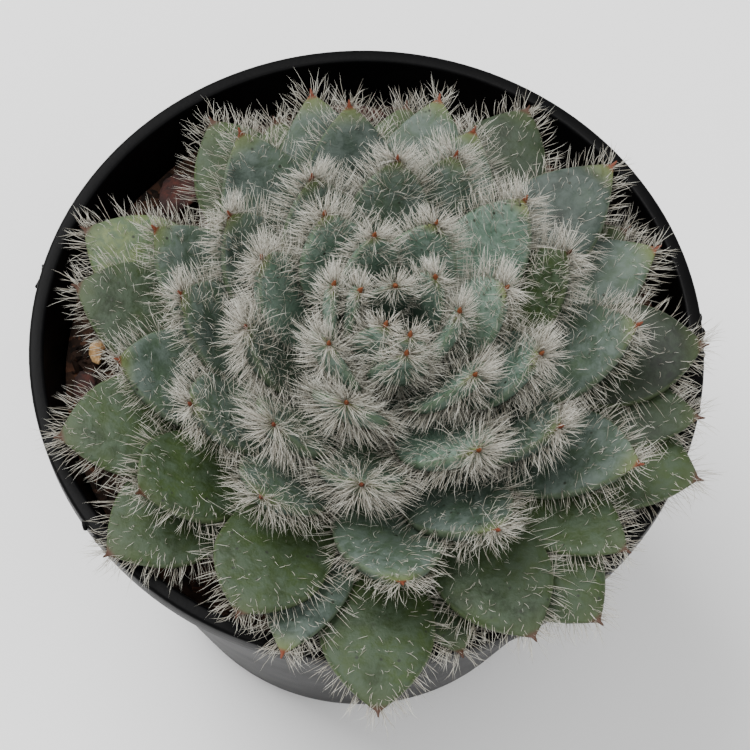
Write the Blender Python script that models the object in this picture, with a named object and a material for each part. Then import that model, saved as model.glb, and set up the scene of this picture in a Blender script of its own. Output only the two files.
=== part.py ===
"""Potted succulent: a hairy rosette of thick leaves on a short stem, in a thin black nursery pot.

Metres, +Z up. The origin is the centre of the pot's underside, which stands on z = 0.
+X is the plant's right and -Y its front. Each leaf is a solid of its own. Where a height or a
reach is given for the plant, it is measured from the middle of its leaning axis.
"""

import math

import bmesh
import bpy
from mathutils import Matrix, Vector

# Pot
POT_HEIGHT = 0.078
RIM_RADIUS = 0.0525
BASE_RADIUS = 0.0355
WALL = 0.0012
LIP_WIDTH = 0.0024
LIP_HEIGHT = 0.0045
LIP_ROUNDING = 0.0006
FLOOR_BEND = 0.0012
BASE_THICKNESS = 0.0016
BASE_RECESS = 0.0010
CENTRE_PAD_RADIUS = 0.0090
FOOT_WIDTH = 0.0035
DRAIN_HOLES = 8
DRAIN_RADIUS = 0.0028
DRAIN_CIRCLE = 0.0215
DRILL_OVERSHOOT = 0.002
DRILLED_SIDES = 12
TURNED_SIDES = 60

# Soil and what lies on it
SOIL_LEVEL = POT_HEIGHT - 0.0105
SOIL_HOLLOW = 0.0034
HOLLOW_RADIUS = 0.024
SOIL_RIPPLE = 0.0005
SOIL_RINGS = (0.0, 0.10, 0.25, 0.45, 0.65, 0.85, 1.0)  # shares of the way from stem to pot
GAP = 0.0003

# Plant axis: where it crosses the height of the rim, and how far it leans for each metre it rises
AXIS_AT_RIM = Vector((0.0015, -0.0068))
AXIS_LEAN = Vector((0.125, 0.070))
STEM_FOOT_RADIUS = 0.0056
STEM_TOP_RADIUS = 0.0032
STEM_FOOT = SOIL_LEVEL - 0.014
STEM_TOP = POT_HEIGHT + 0.004
STEM_SIDES = 20
BUD_RADIUS = 0.0056
BUD_TOP = POT_HEIGHT + 0.0262

# Rosette: the leaf tips lie on a dome
DOME_TOP = POT_HEIGHT + 0.027
DOME_DROP = 0.0262
DOME_RADIUS = 0.054
LOWEST_LEAF_BASE = POT_HEIGHT - 0.0120
HIGHEST_LEAF_BASE = POT_HEIGHT + 0.0035
TAPER_START = LOWEST_LEAF_BASE - 0.002

# Every leaf in the order it leaves the stem, from the top down: the compass direction of its
# tip in degrees anticlockwise from +X, how far the tip stands out from the axis, and how far it
# stands above the dome, both in millimetres. Leaves that lie over a close neighbour are lifted.
LEAVES = (
    (220, 13, 0), (70, 13, 0), (13, 15.5, 0), (315, 16, 0), (248, 18, 0), (129, 18, 0),
    (162, 21.5, 0), (344, 22, 0), (45, 26, 2), (299, 25, 0), (191, 22.5, 0), (93, 25.5, 0),
    (226, 25.5, 0), (262, 27.5, 0), (148, 30, 0.5), (326, 29.5, 0), (122, 26, -0.7),
    (74, 29, 0), (2, 36.5, 2.5), (176, 32, 0), (208, 32.5, 0), (296.5, 35.5, 0.8),
    (237, 33.5, 0), (274, 40, 3), (22, 27.5, 1), (299, 49.5, 1.5), (5, 49, 2.5),
    (246, 47.5, 3), (333, 42, 2.5), (45, 47.5, 4), (187, 40.5, 0), (99.5, 40, 1.5),
    (156, 40, 0.5), (72, 40, -2), (218, 43.5, 0.5), (126, 41.5, 2.5), (171, 48.5, 0),
    (321, 47.5, 0.5), (197, 50, 0.5), (352, 49, 0.8), (107, 46, 1.5), (27, 47.5, -1),
    (81, 48, -1.5), (155.5, 52, -0.3), (255, 49.5, 2), (220, 50.5, -1), (273, 55, 4.9),
    (310, 52, 1), (343, 51.5, -0.3), (287, 47, -4.5), (66, 53.5, 0), (124, 51, -0.5),
)
# Leaves squeezed between larger ones: their number, and their share of the usual width
SQUEEZED_LEAVES = {38: 0.75, 40: 0.75, 45: 0.80, 50: 0.65}
SPREAD_ALONG_STEM = 0.9  # the power of the rank by which leaf bases step down the stem

# One leaf: thickness and cupping are shares of its width, places are shares of its length
YOUNG_LEAF_WIDTH = 0.0070
FULL_LEAF_WIDTH = 0.0153
FULL_WIDTH_REACH = 0.046
WIDTH_GROWTH = 0.8
LEAF_THICKNESS = 0.155
INNER_FACE_SHARE = 0.30
LEAF_CUP = 0.08
LEAF_SEAT = 0.0006
WIDEST_AT = 0.66
THICKEST_AT = 0.70
BASE_WIDTH = 0.20
WAIST_SHARPNESS = 3
TIP_BLUNTNESS = 0.8
END_THICKNESS = 0.30

# The turn of a leaf between its base and its tip, in degrees. Heart leaves turn up a little,
# those at middle reach the most, and the outer ones arch over and down.
HEART_TURN = 14
MIDDLE_TURN = 24
OUTER_TURN = -8
HEART_REACH = 0.012
MIDDLE_REACH = 0.028
ARCH_START_REACH = 0.036
ARCH_FULL_REACH = 0.053
TURN_AT_BASE = 0.6
CURVE_PULL = 0.36

LEAF_SIDES = 8
LEAF_STATIONS = (0.0, 0.13, 0.30, 0.48, 0.66, 0.80, 0.91, 0.975)

POT_BLACK = (0.012, 0.012, 0.013)
SOIL_BROWN = (0.045, 0.028, 0.018)
BARK_BROWN = (0.160, 0.060, 0.035)
PEBBLE_PINK = (0.62, 0.50, 0.45)
CHIP_TAN = (0.42, 0.30, 0.16)
STEM_GREEN = (0.16, 0.20, 0.10)
HEART_GREEN = (0.13, 0.22, 0.17)
OUTER_GREEN = (0.11, 0.19, 0.07)


def clear_scene():
    for thing in list(bpy.data.objects):
        bpy.data.objects.remove(thing, do_unlink=True)


def material(name, colour, roughness):
    made = bpy.data.materials.new(name)
    made.use_nodes = True
    shader = made.node_tree.nodes["Principled BSDF"]
    shader.inputs["Base Color"].default_value = (*colour, 1.0)
    shader.inputs["Roughness"].default_value = roughness
    shader.inputs["Metallic"].default_value = 0.0
    return made


def add_object(name, shape, finish, smooth_angle=40):
    bmesh.ops.recalc_face_normals(shape, faces=shape.faces)
    mesh = bpy.data.meshes.new(name)
    shape.to_mesh(mesh)
    shape.free()
    mesh.materials.append(finish)
    mesh.shade_smooth()
    mesh.set_sharp_from_angle(angle=math.radians(smooth_angle))
    made = bpy.data.objects.new(name, mesh)
    bpy.context.scene.collection.objects.link(made)
    return made


def mix(a, b, share):
    return a + (b - a) * share


def ease(x):
    x = min(max(x, 0.0), 1.0)
    return x * x * (3 - 2 * x)


def skin(shape, rings, first_point=None, last_point=None):
    """Closes a tube of equal rings of points, with a point or a flat face at each end."""
    made = [[shape.verts.new(point) for point in ring] for ring in rings]
    count = len(made[0])
    for low, high in zip(made, made[1:]):
        for i in range(count):
            j = (i + 1) % count
            shape.faces.new((low[i], low[j], high[j], high[i]))
    for ring, point in ((made[0], first_point), (made[-1], last_point)):
        if point is None:
            shape.faces.new(ring)
            continue
        end = shape.verts.new(point)
        for i in range(count):
            shape.faces.new((ring[i], ring[(i + 1) % count], end))


def circle(radius, height, sides=TURNED_SIDES, centre=(0.0, 0.0)):
    turns = [2 * math.pi * i / sides for i in range(sides)]
    return [
        Vector((centre[0] + radius * math.cos(a), centre[1] + radius * math.sin(a), height))
        for a in turns
    ]


# Pot: a thin tapered shell with a rolled lip, and a recessed base with drain holes


def outer_wall(height):
    """Radius of the tapered wall's outside at this height."""
    top = RIM_RADIUS - LIP_WIDTH + WALL
    return mix(BASE_RADIUS, top, height / POT_HEIGHT)


def pot_profile():
    """(radius, height) from the middle of the floor, up inside, over the lip and down outside."""
    floor = BASE_RECESS + BASE_THICKNESS
    lip_foot = POT_HEIGHT - LIP_HEIGHT
    lip_edge = LIP_ROUNDING
    bend = FLOOR_BEND
    foot_inner = BASE_RADIUS - FOOT_WIDTH
    return (
        (0.0, floor),
        (outer_wall(floor) - WALL - bend, floor),
        (outer_wall(floor + bend) - WALL, floor + bend),
        (outer_wall(lip_foot) - WALL, lip_foot),
        (RIM_RADIUS - LIP_WIDTH, POT_HEIGHT - lip_edge),
        (RIM_RADIUS - LIP_WIDTH + lip_edge, POT_HEIGHT),
        (RIM_RADIUS - lip_edge, POT_HEIGHT),
        (RIM_RADIUS, POT_HEIGHT - lip_edge),
        (RIM_RADIUS - lip_edge / 3, lip_foot + lip_edge),
        (outer_wall(lip_foot) + lip_edge, lip_foot),
        (outer_wall(lip_foot - lip_edge), lip_foot - lip_edge),
        (outer_wall(bend), bend),
        (BASE_RADIUS - bend, 0.0),
        (foot_inner, 0.0),
        (foot_inner - BASE_RECESS, BASE_RECESS),
        (CENTRE_PAD_RADIUS + BASE_RECESS, BASE_RECESS),
        (CENTRE_PAD_RADIUS, 0.0),
        (0.0, 0.0),
    )


def make_pot():
    profile = pot_profile()
    shape = bmesh.new()
    rings = [circle(radius, height) for radius, height in profile[1:-1]]
    middle_above, middle_below = (Vector((0, 0, profile[i][1])) for i in (0, -1))
    skin(shape, rings, middle_above, middle_below)
    pot = add_object("pot", shape, material("black moulded plastic", POT_BLACK, 0.45))

    drills = bmesh.new()
    for i in range(DRAIN_HOLES):
        angle = 2 * math.pi * (i + 0.5) / DRAIN_HOLES
        at = (DRAIN_CIRCLE * math.cos(angle), DRAIN_CIRCLE * math.sin(angle))
        ends = (-DRILL_OVERSHOOT, BASE_RECESS + BASE_THICKNESS + DRILL_OVERSHOOT)
        hole = [circle(DRAIN_RADIUS, height, DRILLED_SIDES, at) for height in ends]
        skin(drills, hole)
    cutter = add_object("drain_drills", drills, pot.data.materials[0])
    cutter.hide_render = True
    cutter.display_type = "WIRE"
    cut = pot.modifiers.new("drain holes", "BOOLEAN")
    cut.operation = "DIFFERENCE"
    cut.object = cutter
    return pot


# Soil: fills the pot, with a rippled top and a hole that the stem stands in


def axis_at(height):
    return AXIS_AT_RIM + AXIS_LEAN * (height - POT_HEIGHT)


def soil_top(x, y):
    """Height of the soil's surface, hollowed a little around the stem."""
    ripple = math.sin(310 * x + 1.3) * math.cos(270 * y - 0.4) + 0.6 * math.sin(520 * (x - y))
    stem = axis_at(SOIL_LEVEL)
    near = 1 - ease(math.hypot(x - stem.x, y - stem.y) / HOLLOW_RADIUS)
    return SOIL_LEVEL + SOIL_RIPPLE * ripple - SOIL_HOLLOW * near


def make_soil():
    stem_at = axis_at(SOIL_LEVEL)
    hole = STEM_FOOT_RADIUS + GAP
    low = BASE_RECESS + BASE_THICKNESS + FLOOR_BEND + GAP
    edge = outer_wall(SOIL_LEVEL) - WALL - GAP
    shape = bmesh.new()
    rings = [circle(hole, STEM_FOOT - GAP, centre=stem_at)]
    for share in SOIL_RINGS:
        ring = circle(mix(hole, edge, share), 0, centre=stem_at * (1 - share))
        for point in ring:
            point.z = soil_top(point.x, point.y) if share < 1 else SOIL_LEVEL
        rings.append(ring)
    rings.append(circle(outer_wall(low) - WALL - GAP, low))
    skin(shape, rings, Vector((*stem_at, STEM_FOOT - GAP)), Vector((0, 0, low)))
    return add_object("soil", shape, material("potting mix", SOIL_BROWN, 0.95), 60)


def make_chip(name, at, size, turn, sides, finish):
    """A flat broken chip of size (length, width, thickness), lying on the soil."""
    length, width, thickness = size
    spin = Matrix.Rotation(math.radians(turn), 3, "Z")
    rings = []
    for height, spread in ((0.0, 0.82), (0.35, 1.0), (0.8, 0.93), (1.0, 0.72)):
        ring = []
        for i in range(sides):
            angle = 2 * math.pi * i / sides
            uneven = 1 + 0.16 * math.sin(3.7 * i + 9 * length * 1000)
            flat = Vector((length / 2 * math.cos(angle), width / 2 * math.sin(angle), 0))
            ring.append(spin @ (flat * spread * uneven) + Vector((0, 0, thickness * height)))
        rings.append(ring)
    floor = max(soil_top(at[0] + p.x, at[1] + p.y) for p in rings[1])
    bed = Vector((*at, max(floor, SOIL_LEVEL + 2 * SOIL_RIPPLE) + GAP))
    shape = bmesh.new()
    skin(shape, [[point + bed for point in ring] for ring in rings])
    return add_object(name, shape, finish, 30)


# Plant


def make_stem():
    """The stem, with the closed bud of the youngest leaves at its growing tip."""
    outline = (
        (STEM_FOOT_RADIUS, STEM_FOOT),
        (STEM_FOOT_RADIUS, TAPER_START),
        (STEM_TOP_RADIUS, STEM_TOP),
        (BUD_RADIUS * 0.80, mix(STEM_TOP, BUD_TOP, 0.25)),
        (BUD_RADIUS, mix(STEM_TOP, BUD_TOP, 0.52)),
        (BUD_RADIUS * 0.93, mix(STEM_TOP, BUD_TOP, 0.75)),
        (BUD_RADIUS * 0.62, mix(STEM_TOP, BUD_TOP, 0.91)),
    )
    rings = [circle(r, z, STEM_SIDES, axis_at(max(z, SOIL_LEVEL))) for r, z in outline]
    shape = bmesh.new()
    skin(shape, rings, None, Vector((*axis_at(BUD_TOP), BUD_TOP)))
    return add_object("stem_with_bud", shape, material("stem skin", STEM_GREEN, 0.7))


def stem_radius(height):
    share = (height - TAPER_START) / (STEM_TOP - TAPER_START)
    return mix(STEM_FOOT_RADIUS, STEM_TOP_RADIUS, min(max(share, 0.0), 1.0))


def upturn(reach):
    """Degrees by which a leaf's tip turns up from the straight line to its base."""
    opened = ease((reach - HEART_REACH) / (MIDDLE_REACH - HEART_REACH))
    arched = ease((reach - ARCH_START_REACH) / (ARCH_FULL_REACH - ARCH_START_REACH))
    return mix(mix(HEART_TURN, MIDDLE_TURN, opened), OUTER_TURN, arched)


def leaf_spine(rank, reach, lift):
    """A curve in the leaf's upright plane: share along it -> (out, height), slope angle."""
    down_the_stem = (rank / (len(LEAVES) - 1)) ** SPREAD_ALONG_STEM
    base_height = mix(HIGHEST_LEAF_BASE, LOWEST_LEAF_BASE, down_the_stem)
    base = Vector((stem_radius(base_height) + LEAF_SEAT, base_height))
    tip = Vector((reach, DOME_TOP - DOME_DROP * (reach / DOME_RADIUS) ** 2 + lift))
    chord = tip - base
    line = math.atan2(chord.y, chord.x)
    turn = math.radians(upturn(reach))
    start, end = line - TURN_AT_BASE * turn, line + turn
    pull = CURVE_PULL * chord.length
    a = base + pull * Vector((math.cos(start), math.sin(start)))
    b = tip - pull * Vector((math.cos(end), math.sin(end)))

    def at(s):
        r = 1 - s
        point = base * r**3 + a * 3 * r * r * s + b * 3 * r * s * s + tip * s**3
        slope = (a - base) * r * r + (b - a) * 2 * r * s + (tip - b) * s * s
        return point, math.atan2(slope.y, slope.x)

    return at


def blade_width(s):
    """Share of the full width: narrow at the base, widest past the middle, pointed at the tip."""
    if s < WIDEST_AT:
        swell = math.sin(math.pi / 2 * s / WIDEST_AT) ** WAIST_SHARPNESS
        return mix(BASE_WIDTH, 1.0, swell)
    return (1 - ((s - WIDEST_AT) / (1 - WIDEST_AT)) ** 2) ** TIP_BLUNTNESS


def blade_thickness(s):
    """Share of the full thickness: thin at the base, thickest where the tip starts to close."""
    if s < THICKEST_AT:
        return mix(END_THICKNESS, 1.0, ease(s / THICKEST_AT))
    return mix(1.0, END_THICKNESS, ((s - THICKEST_AT) / (1 - THICKEST_AT)) ** 2)


def make_leaf(name, rank, bearing, reach, lift, squeeze):
    grown = (min(reach, FULL_WIDTH_REACH) / FULL_WIDTH_REACH) ** WIDTH_GROWTH
    width = squeeze * mix(YOUNG_LEAF_WIDTH, FULL_LEAF_WIDTH, grown)
    thickness = LEAF_THICKNESS * width
    cup = LEAF_CUP * width
    angle = math.radians(bearing)
    out = Vector((math.cos(angle), math.sin(angle), 0))
    across = Vector((-math.sin(angle), math.cos(angle), 0))
    spine = leaf_spine(rank, reach, lift)

    def place(s, sideways, inwards):
        (distance, height), slope = spine(s)
        inner_face = Vector((0, 0, math.cos(slope))) - out * math.sin(slope)
        axis = axis_at(height)
        middle = Vector((axis.x, axis.y, height)) + out * distance
        return middle + across * sideways + inner_face * inwards

    rings = []
    for s in LEAF_STATIONS:
        half = 0.5 * width * blade_width(s)
        thick = thickness * blade_thickness(s)
        ring = []
        for i in range(LEAF_SIDES):
            turn = 2 * math.pi * i / LEAF_SIDES
            x, y = math.cos(turn), math.sin(turn)
            face = INNER_FACE_SHARE if y > 0 else 1 - INNER_FACE_SHARE
            cupped = cup * blade_width(s) * x * x
            ring.append(place(s, half * x, thick * face * y + cupped))
        rings.append(ring)
    shape = bmesh.new()
    skin(shape, rings, None, place(1.0, 0, 0))
    age = ease((reach - HEART_REACH) / (FULL_WIDTH_REACH - HEART_REACH))
    colour = [mix(a, b, age) for a, b in zip(HEART_GREEN, OUTER_GREEN)]
    return add_object(name, shape, material(name + " skin", colour, 0.6))


clear_scene()
make_pot()
make_soil()
bark = material("pine bark", BARK_BROWN, 0.85)
make_chip("bark_chip_back", (-0.0045, 0.0445), (0.0125, 0.0042, 0.0020), 4, 9, bark)
make_chip("bark_chip_left", (-0.0312, 0.0285), (0.0105, 0.0070, 0.0022), 42, 9, bark)
make_chip("bark_chip_side", (-0.0442, -0.0072), (0.0062, 0.0040, 0.0020), 80, 8, bark)
make_chip("wood_chip", (-0.0425, -0.0010), (0.0042, 0.0030, 0.0022), 100, 7,
          material("pale wood", CHIP_TAN, 0.8))
make_chip("pebble", (-0.0370, 0.0125), (0.0050, 0.0042, 0.0030), 20, 10,
          material("pink stone", PEBBLE_PINK, 0.6))
make_stem()
for rank, (bearing, reach_mm, lift_mm) in enumerate(LEAVES):
    number = rank + 1
    squeeze = SQUEEZED_LEAVES.get(number, 1.0)
    make_leaf(f"leaf_{number:02d}", rank, bearing, reach_mm / 1000, lift_mm / 1000, squeeze)
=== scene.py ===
"""Potted succulent: a hairy rosette in a thin black nursery pot.

Metres, +Z up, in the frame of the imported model. The pot stands on z = 0, +X is the plant's
right and -Y its front.
"""

import math

import bmesh
import bpy
import numpy as np
from mathutils import Matrix, Vector


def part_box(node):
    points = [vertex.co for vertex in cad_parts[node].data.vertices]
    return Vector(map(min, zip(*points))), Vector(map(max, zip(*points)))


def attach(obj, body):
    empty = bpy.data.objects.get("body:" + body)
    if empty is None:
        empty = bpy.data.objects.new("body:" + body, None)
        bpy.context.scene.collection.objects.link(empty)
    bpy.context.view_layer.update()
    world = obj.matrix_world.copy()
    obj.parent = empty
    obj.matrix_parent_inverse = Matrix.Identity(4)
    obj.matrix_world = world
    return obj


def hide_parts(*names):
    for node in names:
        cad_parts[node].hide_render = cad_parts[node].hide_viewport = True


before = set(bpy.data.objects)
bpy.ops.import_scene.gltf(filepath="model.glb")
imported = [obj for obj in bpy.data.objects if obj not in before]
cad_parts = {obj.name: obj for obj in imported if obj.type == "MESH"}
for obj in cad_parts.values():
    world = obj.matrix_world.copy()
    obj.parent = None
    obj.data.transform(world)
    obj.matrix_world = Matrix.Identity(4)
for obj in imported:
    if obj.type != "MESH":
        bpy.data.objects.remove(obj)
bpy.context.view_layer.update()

# ---------------------------------------------------------------------------------------------
# The studio
# A white table under a wide soft light from above, as for a plant shop's listing. The camera
# looks steeply down on the rosette, from about 38 cm, and is turned a little about its own axis.
# ---------------------------------------------------------------------------------------------

POT_HEIGHT = 0.078  # the rim stands this far above the table
CAMERA_DISTANCE = 0.380
CAMERA_RISE = math.radians(64.7)
CAMERA_ROLL = math.radians(2.87)
CAMERA_LENS = 117.36  # on a sensor 36 mm wide
CAMERA_SHIFT = (0.0101, -0.0501)
TABLE_WHITE = (0.93, 0.93, 0.93, 1.0)

towards_camera = Vector((0.0, -math.cos(CAMERA_RISE), math.sin(CAMERA_RISE)))
level_right = Vector((1.0, 0.0, 0.0))
level_up = towards_camera.cross(level_right)
camera_right = math.cos(CAMERA_ROLL) * level_right + math.sin(CAMERA_ROLL) * level_up
camera_up = towards_camera.cross(camera_right)
camera_place = Matrix((camera_right, camera_up, towards_camera)).transposed().to_4x4()
camera_place.translation = Vector((0, 0, POT_HEIGHT)) + CAMERA_DISTANCE * towards_camera

lens = bpy.data.cameras.new("camera")
lens.lens = CAMERA_LENS
lens.sensor_width = 36.0
lens.shift_x, lens.shift_y = CAMERA_SHIFT
lens.clip_start = 0.01
camera = bpy.data.objects.new("camera", lens)
camera.matrix_world = camera_place
bpy.context.scene.collection.objects.link(camera)
bpy.context.scene.camera = camera

for name, place, size, watts in (
    ("window", (-0.45, 0.35, 0.90), 0.7, 17.0),
    ("ceiling", (0.35, -0.35, 1.10), 1.2, 9.0),
):
    lamp = bpy.data.lights.new(name, "AREA")
    lamp.shape = "SQUARE"
    lamp.size = size
    lamp.energy = watts
    light = bpy.data.objects.new(name, lamp)
    light.location = place
    aim = Vector((0, 0, POT_HEIGHT)) - Vector(place)
    light.rotation_euler = aim.to_track_quat("-Z", "Y").to_euler()
    bpy.context.scene.collection.objects.link(light)

sky = bpy.data.worlds.new("white room")
sky.use_nodes = True
sky.node_tree.nodes["Background"].inputs["Color"].default_value = (1.0, 1.0, 1.0, 1.0)
sky.node_tree.nodes["Background"].inputs["Strength"].default_value = 0.62
bpy.context.scene.world = sky

table_shape = bmesh.new()
bmesh.ops.create_grid(table_shape, x_segments=1, y_segments=1, size=3.0)
table_mesh = bpy.data.meshes.new("table")
table_shape.to_mesh(table_mesh)
table_shape.free()
table = bpy.data.objects.new("table", table_mesh)
bpy.context.scene.collection.objects.link(table)
table_paint = bpy.data.materials.new("white painted board")
table_paint.use_nodes = True
table_paint.node_tree.nodes["Principled BSDF"].inputs["Base Color"].default_value = TABLE_WHITE
table_paint.node_tree.nodes["Principled BSDF"].inputs["Roughness"].default_value = 0.9
table_mesh.materials.append(table_paint)


# ---------------------------------------------------------------------------------------------
# Nursery pot
# A thin tapered pot, injection moulded in black recycled polypropylene. Its lip is turned over
# and rounded, its underside has a foot ring, a recess with eight drain holes and a centre pad.
# ---------------------------------------------------------------------------------------------


def linear(colour):
    """An sRGB hex colour as the linear values that a shader takes."""
    parts = [int(colour[i : i + 2], 16) / 255 for i in (1, 3, 5)]
    curved = [p / 12.92 if p <= 0.04045 else ((p + 0.055) / 1.055) ** 2.4 for p in parts]
    return (*curved, 1.0)


def new_material(name):
    """A node material's tree and its Principled shader."""
    made = bpy.data.materials.new(name)
    made.use_nodes = True
    return made, made.node_tree, made.node_tree.nodes["Principled BSDF"]


def add_node(tree, kind, settings=None, inputs=None):
    """Adds a node. Settings are its own fields or a ramp's stops, and inputs are by socket name
    or number, each a value or the output of another node."""
    made = tree.nodes.new(kind)
    for name, value in (settings or {}).items():
        if name == "stops":
            for i, (place, colour) in enumerate(value):
                points = made.color_ramp.elements
                point = points[i] if i < 2 else points.new(place)
                point.position, point.color = place, colour
        else:
            setattr(made, name, value)
    for name, value in (inputs or {}).items():
        if isinstance(value, bpy.types.NodeSocket):
            tree.links.new(value, made.inputs[name])
        else:
            made.inputs[name].default_value = value
    return made


def mix(a, b, share):
    """A value that lies this share of the way from a to b."""
    return a + (b - a) * share


def ease(x):
    """A smooth step from 0 to 1."""
    x = np.clip(x, 0.0, 1.0)
    return x * x * (3 - 2 * x)


def add_piece(name, points, faces, finish, slot, *nodes, smooth=True):
    """A mesh object from rows of points and of faces that all have as many corners, or a list
    of faces. It rides on the one body and stands for the CAD nodes named."""
    mesh = bpy.data.meshes.new(name)
    mesh.from_pydata([tuple(p) for p in points], [], [tuple(f) for f in faces])
    mesh.materials.append(finish)
    mesh.polygons.foreach_set("use_smooth", [smooth] * len(mesh.polygons))
    mesh.update()
    made = bpy.data.objects.new(name, mesh)
    bpy.context.scene.collection.objects.link(made)
    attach(made, "root")
    for node in nodes:
        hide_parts(node)
    return made


def tube_faces(rings, sides):
    """Faces of a closed tube: rings of points one after another, then a point for each end."""
    i = np.arange(sides)
    j = (i + 1) % sides
    faces = []
    for k in range(rings - 1):
        low, high = k * sides, (k + 1) * sides
        faces += np.stack([low + i, low + j, high + j, high + i], 1).tolist()
    first, last = rings * sides, rings * sides + 1
    faces += np.stack([j, i, np.full(sides, first)], 1).tolist()
    top = (rings - 1) * sides
    faces += np.stack([top + i, top + j, np.full(sides, last)], 1).tolist()
    return faces


def turned(profile, sides):
    """Points of a solid turned from (radius, height) rows, the first and last on the axis."""
    angles = 2 * math.pi * np.arange(sides) / sides
    rings = [
        np.stack([r * np.cos(angles), r * np.sin(angles), np.full(sides, z)], 1)
        for r, z in profile[1:-1]
    ]
    ends = [[(0, 0, profile[0][1])], [(0, 0, profile[-1][1])]]
    return np.concatenate(rings + [np.array(e, float) for e in ends])


# Sizes in metres, from the outside in
RIM_RADIUS = 0.0525
BASE_RADIUS = 0.0355
WALL = 0.0012
LIP_WIDTH = 0.0024
LIP_HEIGHT = 0.0045
LIP_ROUNDING = 0.0006
FLOOR_BEND = 0.0012
BASE_THICKNESS = 0.0016
BASE_RECESS = 0.0010
FOOT_WIDTH = 0.0035
PAD_RADIUS = 0.0090
DRAIN_RADIUS = 0.0028
DRAIN_CIRCLE = 0.0215
DRAIN_HOLES = 8
POT_SIDES = 144


def outer_wall(height):
    """Outer radius of the pot's tapered wall."""
    return mix(BASE_RADIUS, RIM_RADIUS - LIP_WIDTH + WALL, height / POT_HEIGHT)


def rounded(at, start, radius=LIP_ROUNDING):
    """A quarter turn of an edge, clockwise from an angle, as (radius, height) rows."""
    angles = [math.radians(start - 22.5 * k) for k in range(5)]
    return [(at[0] + radius * math.cos(a), at[1] + radius * math.sin(a)) for a in angles]


floor_top = BASE_RECESS + BASE_THICKNESS
lip_foot = POT_HEIGHT - LIP_HEIGHT
lip_inside = RIM_RADIUS - LIP_WIDTH
foot_inside = BASE_RADIUS - FOOT_WIDTH
wall_heights = [mix(floor_top + FLOOR_BEND, lip_foot, k / 6) for k in range(7)]
pot_profile = (
    [(0.0, floor_top), (outer_wall(floor_top) - WALL - FLOOR_BEND, floor_top)]
    + [(outer_wall(z) - WALL, z) for z in wall_heights]
    + rounded((lip_inside + LIP_ROUNDING, POT_HEIGHT - LIP_ROUNDING), 180)
    + rounded((RIM_RADIUS - LIP_ROUNDING, POT_HEIGHT - LIP_ROUNDING), 90)
    + rounded((RIM_RADIUS - 1.2 * LIP_ROUNDING, lip_foot + LIP_ROUNDING), 0)
    + [(outer_wall(lip_foot) + 0.0002, lip_foot), (outer_wall(lip_foot), lip_foot - 0.0003)]
    + [(outer_wall(z), z) for z in wall_heights[-2::-1]]
    + [(outer_wall(FLOOR_BEND), FLOOR_BEND)]
    + rounded((BASE_RADIUS - FLOOR_BEND, FLOOR_BEND), 0, FLOOR_BEND)[1:]
    + [(foot_inside, 0.0), (foot_inside - BASE_RECESS, BASE_RECESS)]
    + [(PAD_RADIUS + BASE_RECESS, BASE_RECESS), (PAD_RADIUS, 0.0), (0.0, 0.0)]
)

# Moulded polypropylene: near black, with a satin sheen. The mould's turning marks run round the
# wall about 0.6 mm apart, and dust and handling leave it dull and greyer in patches 11 mm across.
pot_plastic, tree, shader = new_material("black polypropylene, injection moulded")
at = add_node(tree, "ShaderNodeTexCoord").outputs["Object"]
handled = add_node(
    tree, "ShaderNodeTexNoise", None, {"Vector": at, "Scale": 90.0, "Detail": 6.0, "Roughness": 0.6}
)
dusty = add_node(
    tree,
    "ShaderNodeValToRGB",
    {"stops": [(0.35, linear("#040405")), (0.75, linear("#0b0b0b"))]},
    {"Fac": handled.outputs["Fac"]},
)
tree.links.new(dusty.outputs["Color"], shader.inputs["Base Color"])
worn = add_node(
    tree,
    "ShaderNodeMapRange",
    None,
    {"Value": handled.outputs["Fac"], "To Min": 0.34, "To Max": 0.50},
)
tree.links.new(worn.outputs["Result"], shader.inputs["Roughness"])
height = add_node(tree, "ShaderNodeSeparateXYZ", None, {"Vector": at}).outputs["Z"]
marks = add_node(
    tree, "ShaderNodeTexNoise", {"noise_dimensions": "1D"}, {"W": height, "Scale": 1600.0}
)
grain = add_node(tree, "ShaderNodeTexNoise", None, {"Vector": at, "Scale": 1500.0, "Detail": 3.0})
relief = add_node(
    tree,
    "ShaderNodeMath",
    {"operation": "MULTIPLY_ADD"},
    {0: marks.outputs["Fac"], 1: 0.6, 2: grain.outputs["Fac"]},
)
bump = add_node(
    tree,
    "ShaderNodeBump",
    None,
    {"Height": relief.outputs["Value"], "Strength": 0.25, "Distance": 0.0001},
)
tree.links.new(bump.outputs["Normal"], shader.inputs["Normal"])
shader.inputs["IOR"].default_value = 1.49
shader.inputs["Specular IOR Level"].default_value = 0.06

pot = add_piece(
    "nursery_pot",
    turned(pot_profile, POT_SIDES),
    tube_faces(len(pot_profile) - 2, POT_SIDES),
    pot_plastic,
    "pot",
    "pot",
)
drills = bmesh.new()
for k in range(DRAIN_HOLES):
    angle = math.radians(360 / DRAIN_HOLES * (k + 0.5))
    spot = (DRAIN_CIRCLE * math.cos(angle), DRAIN_CIRCLE * math.sin(angle), floor_top / 2)
    bmesh.ops.create_cone(
        drills,
        cap_ends=True,
        segments=28,
        radius1=DRAIN_RADIUS,
        radius2=DRAIN_RADIUS,
        depth=0.012,
        matrix=Matrix.Translation(spot),
    )
drill_mesh = bpy.data.meshes.new("drills")
drills.to_mesh(drill_mesh)
drills.free()
drill = bpy.data.objects.new("drills", drill_mesh)
bpy.context.scene.collection.objects.link(drill)
cut = pot.modifiers.new("drain holes", "BOOLEAN")
cut.operation = "DIFFERENCE"
cut.object = drill
graph = bpy.context.evaluated_depsgraph_get()
pot.data = bpy.data.meshes.new_from_object(pot.evaluated_get(graph))
pot.modifiers.clear()
bpy.data.objects.remove(drill)
pot.data.shade_smooth()
pot.data.set_sharp_from_angle(angle=math.radians(35))

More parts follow.
